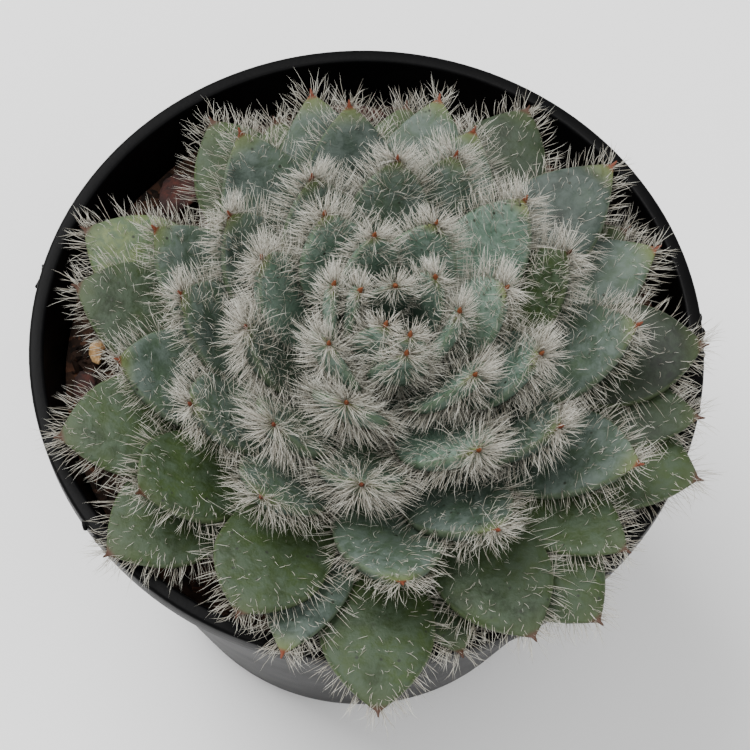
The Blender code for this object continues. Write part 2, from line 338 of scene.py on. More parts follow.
# Flash: crumbs of plastic left on the rim where the mould's halves met and where it was fed.
chance = np.random.default_rng(11)
flash_points, flash_faces = [], []
for bearing, size in (
    (172.5, 0.8), (169, 0.6), (4.5, 1.0), (2.5, 0.8), (7.5, 0.7), (0.5, 0.6), (219, 1.0),
    (222, 0.7), (121, 0.8), (119, 0.6), (88, 0.5), (318, 0.6), (350, 0.5), (262, 0.4),
):
    angle = math.radians(bearing)
    crumb = bmesh.new()
    bmesh.ops.create_icosphere(crumb, subdivisions=2, radius=1.0)
    shape = np.array([v.co for v in crumb.verts])
    lumps = 1 + 0.3 * np.sin(shape @ chance.normal(0, 3, (3, 2))).sum(1, keepdims=True)
    shape = shape * lumps * np.array([0.45, 0.8, 0.5]) * size / 1000
    c, s = math.cos(angle), math.sin(angle)
    turn = np.array([[c, s, 0], [-s, c, 0], [0, 0, 1]])
    place = np.array([c, s, 0]) * RIM_RADIUS
    start = sum(len(p) for p in flash_points)
    flash_points.append(shape @ turn + place + [0, 0, POT_HEIGHT - 0.0012])
    flash_faces += [[v.index + start for v in face.verts] for face in crumb.faces]
    crumb.free()
add_piece("rim_flash", np.concatenate(flash_points), flash_faces, pot_plastic, "pot")


# ---------------------------------------------------------------------------------------------
# Potting mix
# Dark peat and composted bark, loose and damp. It is one solid that fills the pot, with its
# surface drawn as crumbs of peat and splinters of bark from 0.4 to 3 mm long.
# ---------------------------------------------------------------------------------------------

SOIL_DEPTH = 0.0105  # below the rim
SOIL_LEVEL = POT_HEIGHT - SOIL_DEPTH
SOIL_HOLLOW = 0.0034
HOLLOW_RADIUS = 0.024
GAP = 0.0003
PLANT_AT_RIM = np.array([0.0015, -0.0068])  # where the plant's axis is at the rim's height
PLANT_LEAN = np.array([0.125, 0.070])  # how far it goes aside for each metre up
STEM_AT_SOIL = PLANT_AT_RIM - PLANT_LEAN * SOIL_DEPTH
SOIL_SIDES = 180
SOIL_RINGS = 70
CRUMBS = 5200
CRUMB_RADIUS = 0.00032
SMALLEST_CRUMB, LARGEST_CRUMB = 0.00018, 0.0011
SPLINTER_SHARE = 0.18  # of the crumbs are splinters, 2.6 times as long as wide


def soil_top(x, y):
    """Height of the potting mix: hollowed round the stem, lumpy, and crumbly all over."""
    near = 1 - ease(np.hypot(x - STEM_AT_SOIL[0], y - STEM_AT_SOIL[1]) / HOLLOW_RADIUS)
    lumps = np.sin(310 * x + 1.3) * np.cos(270 * y - 0.4) + 0.6 * np.sin(520 * (x - y))
    crumbly = np.sin(2300 * x + 900 * y) * np.sin(2100 * y - 1100 * x + 2 * np.sin(700 * x))
    return SOIL_LEVEL + 0.0005 * lumps + 0.0003 * crumbly - SOIL_HOLLOW * near


soil_edge = outer_wall(SOIL_LEVEL) - WALL - GAP
soil_low = floor_top + FLOOR_BEND + GAP
angles = 2 * math.pi * np.arange(SOIL_SIDES) / SOIL_SIDES
rings = []
for radius in np.linspace(0.0008, soil_edge, SOIL_RINGS):
    x, y = radius * np.cos(angles), radius * np.sin(angles)
    rings.append(np.stack([x, y, soil_top(x, y)], 1))
low_radius = outer_wall(soil_low) - WALL - GAP
low_ring = [low_radius * np.cos(angles), low_radius * np.sin(angles), np.full(SOIL_SIDES, soil_low)]
rings.append(np.stack(low_ring, 1))
middle = [[0, 0, soil_top(0.0, 0.0)], [0, 0, soil_low]]

# Damp peat: dark brown to black and quite matt, in clods 4 mm across, with paler bark fibre in
# specks about 1 mm across.
peat, tree, shader = new_material("peat and composted bark, loose")
at = add_node(tree, "ShaderNodeTexCoord").outputs["Object"]
crumbs = add_node(tree, "ShaderNodeTexVoronoi", None, {"Vector": at, "Scale": 850.0})
clods = add_node(tree, "ShaderNodeTexNoise", None, {"Vector": at, "Scale": 260.0, "Detail": 8.0})
blend = add_node(
    tree,
    "ShaderNodeMix",
    {"data_type": "FLOAT"},
    {0: 0.45, 2: clods.outputs["Fac"], 3: crumbs.outputs["Color"]},
)
peat_colour = add_node(
    tree,
    "ShaderNodeValToRGB",
    {
        "stops": [
            (0.30, linear("#100b08")),
            (0.55, linear("#2a1c14")),
            (0.72, linear("#4a3022")),
            (0.85, linear("#6e4a33")),
        ]
    },
    {"Fac": blend.outputs[0]},
)
tree.links.new(peat_colour.outputs["Color"], shader.inputs["Base Color"])
shader.inputs["Roughness"].default_value = 0.95
shader.inputs["Specular IOR Level"].default_value = 0.25
bump = add_node(
    tree,
    "ShaderNodeBump",
    None,
    {"Height": clods.outputs["Fac"], "Strength": 0.8, "Distance": 0.0006},
)
tree.links.new(bump.outputs["Normal"], shader.inputs["Normal"])
add_piece(
    "potting_mix",
    np.concatenate(rings + [np.array(middle)]),
    [face[::-1] for face in tube_faces(SOIL_RINGS + 1, SOIL_SIDES)],
    peat,
    "soil",
    "soil",
)

# The loose crumbs: each a little faceted lump, some of them long splinters of bark.
seed_shape = bmesh.new()
bmesh.ops.create_icosphere(seed_shape, subdivisions=1, radius=1.0)
lump = np.array([v.co for v in seed_shape.verts])
lump_faces = np.array([[v.index for v in face.verts] for face in seed_shape.faces])
seed_shape.free()
chance = np.random.default_rng(5)
radius = (soil_edge - 0.0012) * np.sqrt(chance.random(CRUMBS))
bearing = 2 * math.pi * chance.random(CRUMBS)
x, y = radius * np.cos(bearing), radius * np.sin(bearing)
size = CRUMB_RADIUS * np.exp(0.45 * chance.normal(size=CRUMBS))
size = np.clip(size, SMALLEST_CRUMB, LARGEST_CRUMB)
long = np.where(chance.random(CRUMBS) < SPLINTER_SHARE, 2.6, 1.2)
spin = 2 * math.pi * chance.random(CRUMBS)
tilt = 0.5 * chance.normal(size=CRUMBS)
base = lump[None] * (1 + 0.28 * chance.normal(size=(CRUMBS, len(lump), 1)))
base = base * np.stack([size * long, size, size * 0.75], 1)[:, None]
base = np.stack(
    [
        base[..., 0] * np.cos(tilt)[:, None] - base[..., 2] * np.sin(tilt)[:, None],
        base[..., 1],
        base[..., 0] * np.sin(tilt)[:, None] + base[..., 2] * np.cos(tilt)[:, None],
    ],
    2,
)
turned_x = base[..., 0] * np.cos(spin)[:, None] - base[..., 1] * np.sin(spin)[:, None]
turned_y = base[..., 0] * np.sin(spin)[:, None] + base[..., 1] * np.cos(spin)[:, None]
level = soil_top(x, y) + 0.4 * size
points = np.stack(
    [turned_x + x[:, None], turned_y + y[:, None], base[..., 2] + level[:, None]], 2
)
starts = (np.arange(CRUMBS) * len(lump))[:, None, None]
add_piece(
    "loose_crumbs",
    points.reshape(-1, 3),
    (lump_faces[None] + starts).reshape(-1, 3),
    peat,
    "soil",
    smooth=False,
)

# ---------------------------------------------------------------------------------------------
# Bark, wood and a pebble
# What else lies on the potting mix: three chips of reddish pine bark, a pale splinter of wood
# and a worn pinkish pebble. They were mixed in by hand, and just lie there.
# ---------------------------------------------------------------------------------------------


def rough_stone(size, roundness, seed):
    """A broken or worn lump of (length, width, thickness), with facets where it isn't round."""
    shape = bmesh.new()
    bmesh.ops.create_icosphere(shape, subdivisions=4, radius=1.0)
    points = np.array([v.co for v in shape.verts])
    faces = [[v.index for v in face.verts] for face in shape.faces]
    shape.free()
    chance = np.random.default_rng(seed)
    cuts = chance.normal(size=(22, 3))
    cuts /= np.linalg.norm(cuts, axis=1, keepdims=True)
    depth = mix(chance.uniform(0.55, 0.95, 22), 0.97, roundness)
    flat = np.min(depth / np.maximum(points @ cuts.T, 1e-3), axis=1)
    points = points * np.minimum(flat, 1.0)[:, None]
    for grain, amount in ((4, 0.06), (11, 0.03), (27, 0.018)):
        waves = np.sin(points @ chance.normal(0, grain, (3, 3)) + chance.uniform(0, 6, 3))
        points *= 1 + amount * (1.3 - roundness) * waves.prod(1)[:, None]
    return points * np.array(size) / 2, faces


def mineral(name, dark, mid, pale, scale, roughness, stretch):
    """A matt, uneven natural surface in three tones, its grain drawn out along one direction."""
    made, tree, shader = new_material(name)
    at = add_node(tree, "ShaderNodeTexCoord").outputs["Object"]
    along = add_node(tree, "ShaderNodeMapping", None, {"Vector": at, "Scale": stretch})
    grain = add_node(
        tree,
        "ShaderNodeTexNoise",
        None,
        {"Vector": along.outputs["Vector"], "Scale": scale, "Detail": 9.0, "Roughness": 0.65},
    )
    tone = add_node(
        tree,
        "ShaderNodeValToRGB",
        {"stops": [(0.32, linear(dark)), (0.50, linear(mid)), (0.68, linear(pale))]},
        {"Fac": grain.outputs["Fac"]},
    )
    tree.links.new(tone.outputs["Color"], shader.inputs["Base Color"])
    relief = add_node(
        tree,
        "ShaderNodeBump",
        None,
        {"Height": grain.outputs["Fac"], "Strength": 0.7, "Distance": 0.0004},
    )
    tree.links.new(relief.outputs["Normal"], shader.inputs["Normal"])
    shader.inputs["Roughness"].default_value = roughness
    return made


# Pine bark breaks in flakes: reddish brown with dark layers about 0.6 mm apart.
bark = mineral(
    "pine bark, broken", "#120706", "#2b110c", "#451d13", 520.0, 0.9, (1.0, 1.0, 3.0)
)
# Split softwood: straw coloured, with streaks 1 mm apart, coarser than its own fibres.
splinter_wood = mineral(
    "softwood, splintered", "#7a5a38", "#a98556", "#cfb184", 900.0, 0.8, (1.0, 0.3, 1.0)
)
# Worn quartz: pinkish white, clouded every 2 mm, and smooth enough for a faint gloss.
quartz = mineral(
    "pink quartz, water worn", "#a98f86", "#cdb8ae", "#e7dbd2", 420.0, 0.5, (1.0, 1.0, 1.0)
)
for name, node, finish, slot, size, turn, roundness in (
    ("bark_flake_back", "bark_chip_back", bark, "bark", (0.0135, 0.0050, 0.0026), 4, 0.1),
    ("bark_flake_left", "bark_chip_left", bark, "bark", (0.0108, 0.0072, 0.0026), 42, 0.1),
    ("bark_flake_side", "bark_chip_side", bark, "bark", (0.0066, 0.0044, 0.0024), 80, 0.1),
    ("wood_splinter", "wood_chip", splinter_wood, "wood_chip", (0.0046, 0.0031, 0.0024), 100, 0.2),
    ("quartz_pebble", "pebble", quartz, "pebble", (0.0054, 0.0045, 0.0034), 20, 0.9),
):
    low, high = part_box(node)
    middle = (np.array(low) + np.array(high)) / 2
    points, faces = rough_stone(size, roundness, len(name) + int(turn))
    c, s = math.cos(math.radians(turn)), math.sin(math.radians(turn))
    points = points @ np.array([[c, s, 0], [-s, c, 0], [0, 0, 1]]) + middle
    add_piece(name, points, faces, finish, slot, node)


# ---------------------------------------------------------------------------------------------
# Stem
# The short woody stem that carries the rosette. It is rooted in the potting mix, ringed with the
# scars of leaves that have dropped, and hidden by the leaves but for a glimpse from the side.
# ---------------------------------------------------------------------------------------------

STEM_FOOT_RADIUS = 0.0056
STEM_TOP_RADIUS = 0.0032
STEM_FOOT = SOIL_LEVEL - 0.014
STEM_TOP = POT_HEIGHT + 0.004
TAPER_START = POT_HEIGHT - 0.014
SCAR_SPACING = 0.0015
SCAR_HEIGHT = 0.00025
STEM_SIDES = 32
STEM_RINGS = 40


def axis_at(height):
    """Where the middle of the leaning plant is at a height: x and y."""
    rise = np.maximum(height, SOIL_LEVEL) - POT_HEIGHT
    return PLANT_AT_RIM[0] + PLANT_LEAN[0] * rise, PLANT_AT_RIM[1] + PLANT_LEAN[1] * rise


def stem_radius(height):
    """Radius of the stem: even below, tapered where the leaves leave it."""
    share = (height - TAPER_START) / (STEM_TOP - TAPER_START)
    return mix(STEM_FOOT_RADIUS, STEM_TOP_RADIUS, np.clip(share, 0.0, 1.0))


# Living stem skin: dull olive, with cork in paler patches about 2 mm across.
stem_skin, tree, shader = new_material("succulent stem, corky skin")
at = add_node(tree, "ShaderNodeTexCoord").outputs["Object"]
cork = add_node(tree, "ShaderNodeTexNoise", None, {"Vector": at, "Scale": 420.0, "Detail": 7.0})
stem_tone = add_node(
    tree,
    "ShaderNodeValToRGB",
    {"stops": [(0.35, linear("#3b3a24")), (0.55, linear("#6a6a45")), (0.75, linear("#8d8560"))]},
    {"Fac": cork.outputs["Fac"]},
)
tree.links.new(stem_tone.outputs["Color"], shader.inputs["Base Color"])
bump = add_node(
    tree,
    "ShaderNodeBump",
    None,
    {"Height": cork.outputs["Fac"], "Strength": 0.6, "Distance": 0.0005},
)
tree.links.new(bump.outputs["Normal"], shader.inputs["Normal"])
shader.inputs["Roughness"].default_value = 0.8
angles = 2 * math.pi * np.arange(STEM_SIDES) / STEM_SIDES
rings = []
for height in np.linspace(STEM_FOOT, STEM_TOP, STEM_RINGS):
    scar = SCAR_HEIGHT * abs(math.sin(math.pi * height / SCAR_SPACING))
    radius = stem_radius(height) + scar
    x, y = axis_at(height)
    ring = [x + radius * np.cos(angles), y + radius * np.sin(angles), np.full(STEM_SIDES, height)]
    rings.append(np.stack(ring, 1))
ends = np.array([[*axis_at(STEM_FOOT), STEM_FOOT], [*axis_at(STEM_TOP), STEM_TOP + 0.001]])
add_piece(
    "stem",
    np.concatenate(rings + [ends]),
    tube_faces(STEM_RINGS, STEM_SIDES),
    stem_skin,
    "stem",
    "stem_with_bud",
)

# ---------------------------------------------------------------------------------------------
# Leaves
# Thick pointed blades in a rosette, each grown from the stem at its narrow base. Young ones in
# the heart stand up, those at middle reach turn their tips up, and the oldest spread flat over
# the pot. Each ends in a small dry point, red on young leaves and browner on old ones.
# ---------------------------------------------------------------------------------------------

# The tips lie on a dome. The widths are in metres, and the shares that follow are of a leaf's
# width (its thickness, cup) or of its length (where it is widest and thickest).
DOME_TOP = POT_HEIGHT + 0.027
DOME_DROP = 0.0262
DOME_RADIUS = 0.054
LOWEST_LEAF_BASE = POT_HEIGHT - 0.0120
HIGHEST_LEAF_BASE = POT_HEIGHT + 0.0035
YOUNG_LEAF_WIDTH = 0.0082
FULL_LEAF_WIDTH = 0.0172
FULL_WIDTH_REACH = 0.046
LEAF_THICKNESS = 0.27
INNER_FACE_SHARE = 0.36
LEAF_CUP = 0.035
WIDEST_WHEN_YOUNG = 0.62
WIDEST_WHEN_OLD = 0.73
THICKEST_AT = 0.74
POINT_LENGTH = 0.0007
POINT_RADIUS = 0.00048

# In the order they leave the stem, from the top down: the direction of the tip in degrees
# anticlockwise from +X, its reach from the axis and its lift off the dome, both in millimetres.
LEAVES = (
    (220, 13, 0), (70, 13, 0), (13, 15.5, 0), (315, 16, 0), (248, 18, 0), (129, 18, 0),
    (162, 21.5, 0), (344, 22, 0), (45, 26, 2), (299, 25, 0), (191, 22.5, 0), (93, 25.5, 0),
    (226, 25.5, 0), (262, 27.5, 0), (148, 30, 0.5), (326, 29.5, 0), (122, 26, -0.7),
    (74, 29, 0), (2, 36.5, 2.5), (176, 32, 0), (208, 32.5, 0), (296.5, 35.5, 0.8),
    (237, 33.5, 0), (274, 40, 3), (22, 27.5, 1), (299, 49.5, 1.5), (5, 49, 2.5),
    (246, 47.5, 3), (333, 42, 2.5), (45, 47.5, 4), (187, 40.5, 0), (99.5, 40, 1.5),
    (156, 40, 0.5), (72, 40, -2), (218, 43.5, 0.5), (126, 41.5, 2.5), (171, 48.5, 0),
    (321, 47.5, 0.5), (197, 50, 0.5), (352, 49, 0.8), (107, 46, 1.5), (27, 47.5, -1),
    (81, 48, -1.5), (155.5, 52, -0.3), (255, 49.5, 2), (220, 50.5, -1), (273, 55, 4.9),
    (310, 52, 1), (343, 51.5, -0.3), (287, 47, -4.5), (66, 53.5, 0), (124, 51, -0.5),
)
# Leaves held narrow between larger neighbours, by number, as a share of their width
SQUEEZED_LEAVES = {38: 0.75, 40: 0.75, 45: 0.80, 50: 0.65}
# The youngest leaves, still folded together at the growing tip, and three old ones underneath.
HEART_LEAVES = (
    (102, 1.6, -1.5), (30, 5.2, 0), (250, 5.8, 0), (172, 6.0, 0), (280, 7.0, 0.4),
    (341, 8.6, 0), (278, 9.2, -0.6), (179, 9.9, 0), (116, 10.3, 0),
)
UNDER_LEAVES = ((114, 46.4, -4), (86, 46.9, -4), (33, 45.7, -4))


def upturn(reach):
    """Degrees by which a leaf's tip turns up from the straight line to its base."""
    return mix(mix(14, 24, ease((reach - 0.012) / 0.016)), -8, ease((reach - 0.036) / 0.017))


def blade_width(s, age):
    """Share of the full width: an oval with a point, its shoulders fuller on an old leaf."""
    widest = mix(WIDEST_WHEN_YOUNG, WIDEST_WHEN_OLD, age)
    swell = np.sin(math.pi / 2 * np.minimum(s, widest) / widest) ** 2.2
    closing = np.clip((s - widest) / (1 - widest), 0, 1)
    shoulder = 1 - closing ** mix(2.0, 2.3, age)
    return np.where(s < widest, mix(0.22, 1.0, swell), shoulder)


def blade_thickness(s):
    """Share of the full thickness: thin at the base, thickest well out towards the tip."""
    closing = np.clip((s - THICKEST_AT) / (1 - THICKEST_AT), 0, 1)
    return np.where(s < THICKEST_AT, mix(0.3, 1.0, ease(s / THICKEST_AT)), mix(1, 0.3, closing**2))


def leaf_form(base_height, bearing, reach, lift, width, age, seed):
    """A leaf's surface as a function: share along it and angle round it -> points. The angle is 0
    and 180 degrees at the margins, and 90 in the middle of the face turned to the axis."""
    base = np.array([stem_radius(base_height) + 0.0006, base_height])
    tip = np.array([reach, DOME_TOP - DOME_DROP * (reach / DOME_RADIUS) ** 2 + lift])
    chord = tip - base
    length = float(np.hypot(*chord))
    line = math.atan2(chord[1], chord[0])
    turn = math.radians(upturn(reach))
    start, end = line - 0.6 * turn, line + turn
    a = base + 0.36 * length * np.array([math.cos(start), math.sin(start)])
    b = tip - 0.36 * length * np.array([math.cos(end), math.sin(end)])
    angle = math.radians(bearing)
    out = np.array([math.cos(angle), math.sin(angle), 0.0])
    across = np.array([-math.sin(angle), math.cos(angle), 0.0])
    chance = np.random.default_rng(seed)
    waves = chance.uniform(0, 6.28, 6)
    sway = chance.normal(0, 0.02)

    def place(s, t):
        s, t = np.broadcast_arrays(s, t)
        r = 1 - s
        spots = np.stack([r**3, 3 * r * r * s, 3 * r * s * s, s**3], -1)
        spots = spots @ np.array([base, a, b, tip])
        slopes = np.stack([r * r, 2 * r * s, s * s], -1) @ np.array([a - base, b - a, tip - b])
        slope = np.arctan2(slopes[..., 1], slopes[..., 0])[..., None]
        inwards = np.array([0, 0, 1.0]) * np.cos(slope) - out * np.sin(slope)
        x, y = np.cos(t), np.sin(t)
        past = np.clip((s - 0.975) / (POINT_LENGTH / length + 0.025), 0, 1)
        point = POINT_RADIUS * (1 - 0.8 * past) / (0.5 * width)
        wide = np.maximum(blade_width(s, age), point)
        half = 0.5 * width * wide
        wavy = 0.018 * width * (
            np.sin(9 * s + waves[0]) * np.sin(2.2 * x + waves[1])
            + 0.6 * np.sin(17 * s + waves[2] + 2.5 * x) * np.sin(5 * x + waves[3])
        )
        thick = LEAF_THICKNESS * width * blade_thickness(s) * np.minimum(1, 2.2 * wide)
        thick = np.where(wide <= point + 1e-9, 2 * half, thick)
        share = np.where(y > 0, INNER_FACE_SHARE, 1 - INNER_FACE_SHARE)
        rounded_face = np.sign(y) * np.abs(y) ** 0.85
        depth = thick * share * rounded_face + LEAF_CUP * width * wide * x * x
        depth = depth + wavy * wide * np.abs(y)
        centre_x, centre_y = axis_at(spots[..., 1])
        middle = np.stack([centre_x, centre_y, spots[..., 1]], -1) + out * spots[..., :1]
        bent = sway * length * s * s
        return middle + across * (half * x + bent)[..., None] + inwards * depth[..., None]

    return place, length


LEAF_SIDES = 26
LEAF_ROWS = np.concatenate(
    [np.linspace(0, 0.6, 15), np.linspace(0.64, 0.94, 14), [0.955, 0.967, 0.977, 0.986, 0.994]]
)


def leaf_rows(length):
    """Shares along a leaf where its rings of points lie, with three more for the dry point."""
    past = POINT_LENGTH / length
    return np.concatenate([LEAF_ROWS, 1 + past * np.array([0.0, 0.4, 0.8])])


def set_numbers(mesh, name, values):
    """Stores one number for each point of a mesh, for its material to read."""
    made = mesh.attributes.new(name, "FLOAT", "POINT")
    made.data.foreach_set("value", np.asarray(values, np.float32).ravel())


def leaf_skin(name, fresh, deep, bloom, tip_tint, dry, bloom_share):
    """Living leaf skin: waxy and matt, green in patches 6 mm across, under a bluish bloom that
    rubs off in patches of 2 mm and is thickest towards the tip. The margin is paler, specks of
    dirt lie here and there at least 1.6 mm apart, pores 0.7 mm apart dull it, and the point is
    dry and red-brown."""
    made, tree, shader = new_material(name)
    at = add_node(tree, "ShaderNodeTexCoord").outputs["Object"]
    along = add_node(tree, "ShaderNodeAttribute", {"attribute_name": "along"}).outputs["Fac"]
    margin = add_node(tree, "ShaderNodeAttribute", {"attribute_name": "margin"}).outputs["Fac"]
    # The tone darkens or pales a whole leaf, skin and bloom alike. A little of it is at random, as
    # real leaves differ; the strong darkening on the leaves listed as dark, down to the near-black
    # stop, is painted shade.
    tone = add_node(tree, "ShaderNodeAttribute", {"attribute_name": "tone"}).outputs["Fac"]
    patches = add_node(
        tree, "ShaderNodeTexNoise", None, {"Vector": at, "Scale": 160.0, "Detail": 5.0}
    )
    shade = add_node(
        tree,
        "ShaderNodeMath",
        {"operation": "MULTIPLY_ADD", "use_clamp": True},
        {0: tone, 1: 1.0, 2: patches.outputs["Fac"]},
    )
    green = add_node(
        tree,
        "ShaderNodeValToRGB",
        {
            "stops": [
                (0.30, linear(deep)),
                (0.70, linear(fresh)),
                (1.0, linear("#6a744c")),
                (0.0, linear("#0b1206")),
            ]
        },
        {"Fac": shade.outputs["Value"]},
    )
    wax = add_node(
        tree,
        "ShaderNodeTexNoise",
        None,
        {"Vector": at, "Scale": 470.0, "Detail": 8.0, "Roughness": 0.66, "Distortion": 0.35},
    )
    wax_on = add_node(
        tree,
        "ShaderNodeMapRange",
        {"interpolation_type": "SMOOTHSTEP"},
        {"Value": wax.outputs["Fac"], "From Min": 0.38, "From Max": 0.62, "To Max": bloom_share},
    )
    wax_kept = add_node(
        tree,
        "ShaderNodeMapRange",
        {"interpolation_type": "SMOOTHSTEP"},
        {"Value": along, "From Min": 0.45, "From Max": 0.85, "To Min": 0.35, "To Max": 1.5},
    )
    wax_share = add_node(
        tree,
        "ShaderNodeMath",
        {"operation": "MULTIPLY", "use_clamp": True},
        {0: wax_on.outputs["Result"], 1: wax_kept.outputs["Result"]},
    )
    wax_value = add_node(
        tree,
        "ShaderNodeMapRange",
        None,
        {"Value": tone, "From Min": -0.5, "From Max": 0.5, "To Min": 0.35, "To Max": 1.65},
    )
    wax_tone = add_node(
        tree,
        "ShaderNodeHueSaturation",
        None,
        {"Color": linear(bloom), "Value": wax_value.outputs["Result"]},
    )
    bloomed = add_node(
        tree,
        "ShaderNodeMix",
        {"data_type": "RGBA"},
        {0: wax_share.outputs["Value"], 6: green.outputs["Color"], 7: wax_tone.outputs["Color"]},
    )
    edge = add_node(
        tree,
        "ShaderNodeMapRange",
        {"interpolation_type": "SMOOTHSTEP"},
        {"Value": margin, "From Min": 0.93, "From Max": 1.0, "To Max": 0.28},
    )
    edged = add_node(
        tree,
        "ShaderNodeMix",
        {"data_type": "RGBA"},
        {0: edge.outputs["Result"], 6: bloomed.outputs[2], 7: linear("#62704a")},
    )
    near_tip = add_node(
        tree,
        "ShaderNodeMapRange",
        {"interpolation_type": "SMOOTHSTEP"},
        {"Value": along, "From Min": 0.91, "From Max": 0.985, "To Max": 0.65},
    )
    tinted = add_node(
        tree,
        "ShaderNodeMix",
        {"data_type": "RGBA"},
        {0: near_tip.outputs["Result"], 6: edged.outputs[2], 7: linear(tip_tint)},
    )
    dry_point = add_node(
        tree,
        "ShaderNodeMapRange",
        {"interpolation_type": "SMOOTHSTEP"},
        {"Value": along, "From Min": 0.974, "From Max": 0.992},
    )
    pointed = add_node(
        tree,
        "ShaderNodeMix",
        {"data_type": "RGBA"},
        {0: dry_point.outputs["Result"], 6: tinted.outputs[2], 7: linear(dry)},
    )
    dirt = add_node(tree, "ShaderNodeTexVoronoi", None, {"Vector": at, "Scale": 620.0})
    dirt_near = add_node(
        tree,
        "ShaderNodeMapRange",
        None,
        {"Value": dirt.outputs["Distance"], "From Min": 0.20, "From Max": 0.10},
    )
    dirt_seldom = add_node(
        tree,
        "ShaderNodeMath",
        {"operation": "GREATER_THAN"},
        {0: dirt.outputs["Color"], 1: 0.66},
    )
    speck = add_node(
        tree,
        "ShaderNodeMath",
        {"operation": "MULTIPLY"},
        {0: dirt_near.outputs["Result"], 1: dirt_seldom.outputs["Value"]},
    )
    specked = add_node(
        tree,
        "ShaderNodeMix",
        {"data_type": "RGBA"},
        {0: speck.outputs["Value"], 6: pointed.outputs[2], 7: linear("#20261a")},
    )
    tree.links.new(specked.outputs[2], shader.inputs["Base Color"])
    pores = add_node(
        tree, "ShaderNodeTexNoise", None, {"Vector": at, "Scale": 1400.0, "Detail": 3.0}
    )
    skin_relief = add_node(
        tree,
        "ShaderNodeMath",
        {"operation": "MULTIPLY_ADD"},
        {0: wax.outputs["Fac"], 1: 1.6, 2: pores.outputs["Fac"]},
    )
    bump = add_node(
        tree,
        "ShaderNodeBump",
        None,
        {"Height": skin_relief.outputs["Value"], "Strength": 0.45, "Distance": 0.00024},
    )
    tree.links.new(bump.outputs["Normal"], shader.inputs["Normal"])
    gloss = add_node(
        tree,
        "ShaderNodeMapRange",
        None,
        {"Value": wax.outputs["Fac"], "To Min": 0.48, "To Max": 0.72},
    )
    tree.links.new(gloss.outputs["Result"], shader.inputs["Roughness"])
    shader.inputs["IOR"].default_value = 1.42
    shader.inputs["Specular IOR Level"].default_value = 0.45
    return made


# The skins, as they lose their bloom with age: fresh green, deep green, bloom, tint near the tip,
# dry point, and how much of the leaf the bloom covers.
heart_skin = leaf_skin(
    "succulent leaf skin, young and glaucous",
    "#5a7060", "#3c5244", "#6d7d73", "#7a7c38", "#6b3a1e", 0.50,
)
middle_skin = leaf_skin(
    "succulent leaf skin, waxy bloom",
    "#3f4f3c", "#26342b", "#4f5b54", "#5a6331", "#64301b", 0.55,
)
outer_skin = leaf_skin(
    "succulent leaf skin, bloom worn off",
    "#31421a", "#1a280e", "#364431", "#384325", "#3d2415", 0.62,
)


def add_leaf(name, place, length, tone, finish, slot, *nodes):
    """One leaf as a closed mesh, with the numbers that its skin reads."""
    rows = leaf_rows(length)
    t = 2 * math.pi * np.arange(LEAF_SIDES) / LEAF_SIDES
    body = place(rows[:, None], t[None])
    past = 1 + POINT_LENGTH / length
    ends = np.stack([body[0].mean(0), place(np.array(past), np.array(0.0))])
    leaf = add_piece(
        name,
        np.concatenate([body.reshape(-1, 3), ends]),
        tube_faces(len(rows), LEAF_SIDES),
        finish,
        slot,
        *nodes,
    )
    along = np.concatenate([np.repeat(rows, LEAF_SIDES), [0, past]])
    margin = np.concatenate([np.tile(np.abs(np.cos(t)), len(rows)), [0, 0]])
    set_numbers(leaf.data, "along", along)
    set_numbers(leaf.data, "margin", margin)
    set_numbers(leaf.data, "tone", np.full(len(along), tone))
    return leaf


# ---------------------------------------------------------------------------------------------
# Hairs
# Every leaf grows soft white hairs, 2 to 5 mm long and finer than sewing thread. They are thickest
# on the young leaves; the old ones keep a fringe along the margin and short curled hairs on their
# faces. Each hair is drawn a little thicker than it is, so that it shows.
# ---------------------------------------------------------------------------------------------

HAIR_LENGTH = 0.0051
HAIR_ROOT_RADIUS = 0.000042
HAIR_TIP_RADIUS = 0.000022
HAIR_ROWS = (0.0, 0.36, 0.70)  # shares along a hair where it bends
HAIR_TONES = 0.62  # how far the hairs differ in tone
MAP_WIDTH = 0.01  # half a hair's width on the colour map

# Plant hair: hollow cells with thin dry walls, creamy white, and darker towards the root, which is
# painted shade where the hairs crowd down against the leaf. Each one differs a little in tone, and
# a faint gloss runs along it.
hair_wall, tree, shader = new_material("plant hair, dry and translucent")
along_hair = add_node(tree, "ShaderNodeAttribute", {"attribute_name": "along"}).outputs["Fac"]
strand = add_node(tree, "ShaderNodeAttribute", {"attribute_name": "strand"}).outputs["Fac"]
paler = add_node(
    tree,
    "ShaderNodeMath",
    {"operation": "MULTIPLY_ADD", "use_clamp": True},
    {0: along_hair, 1: 0.5, 2: strand},
)
# The dark brownish grey at the root end is painted shade; the spread between strands is their own
# tone.
hair_colour_and_root_shade = add_node(
    tree,
    "ShaderNodeValToRGB",
    {
        "stops": [
            (0.0, linear("#6d675a")),
            (0.35, linear("#a39d90")),
            (0.80, linear("#c9c7bb")),
            (1.0, linear("#dedcd1")),
        ]
    },
    {"Fac": paler.outputs["Value"]},
)
tree.links.new(hair_colour_and_root_shade.outputs["Color"], shader.inputs["Base Color"])
shader.inputs["Roughness"].default_value = 0.45
shader.inputs["IOR"].default_value = 1.45
shader.inputs["Specular IOR Level"].default_value = 0.5


def unit(rows):
    """The same directions, one long."""
    return rows / np.maximum(np.linalg.norm(rows, axis=-1, keepdims=True), 1e-12)


